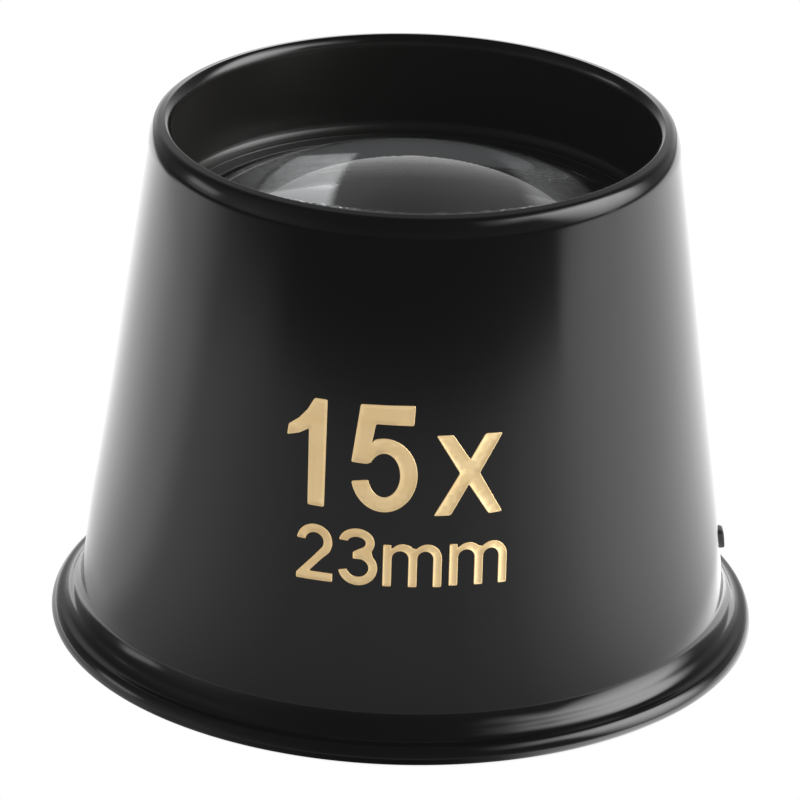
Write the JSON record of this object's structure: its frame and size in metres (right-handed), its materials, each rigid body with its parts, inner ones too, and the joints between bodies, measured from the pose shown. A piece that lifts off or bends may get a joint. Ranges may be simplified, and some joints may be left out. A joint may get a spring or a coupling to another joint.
{
  "type": "eye loupe",
  "caption": "Watchmaker's eye loupe: a conical gloss black shell with a rolled rim and an eye flange, holding a lens stack clamped by a screwed ring.",
  "frame": {"origin": "centre of the flange's flat face, at the middle of the bottom of the whole box", "axes": "+Z along the optical axis from the eye end to the small end, -Y towards the side with the marking, +X to the right of someone who reads it"},
  "size_m": [0.0366, 0.0366, 0.0276],
  "materials": {
    "shell": "gloss moulded black",
    "barrel": "satin moulded black",
    "lens": "polished, uncoated",
    "ring": "matt black, to keep stray light down",
    "marking": "hot stamped gold foil"
  },
  "bodies": {
    "housing": {"housing": "shell", "lens_barrel": "barrel", "front_lens": "lens"},
    "lens_stack": {"spacer_ring": "ring", "rear_lens": "lens", "retaining_ring": "ring"}
  },
  "joints": [
    {"name": "ring_unscrew", "type": "slide", "parent": "housing", "child": "lens_stack", "axis": [0, 0, -1], "range_m": [0, 0.003]}
  ]
}
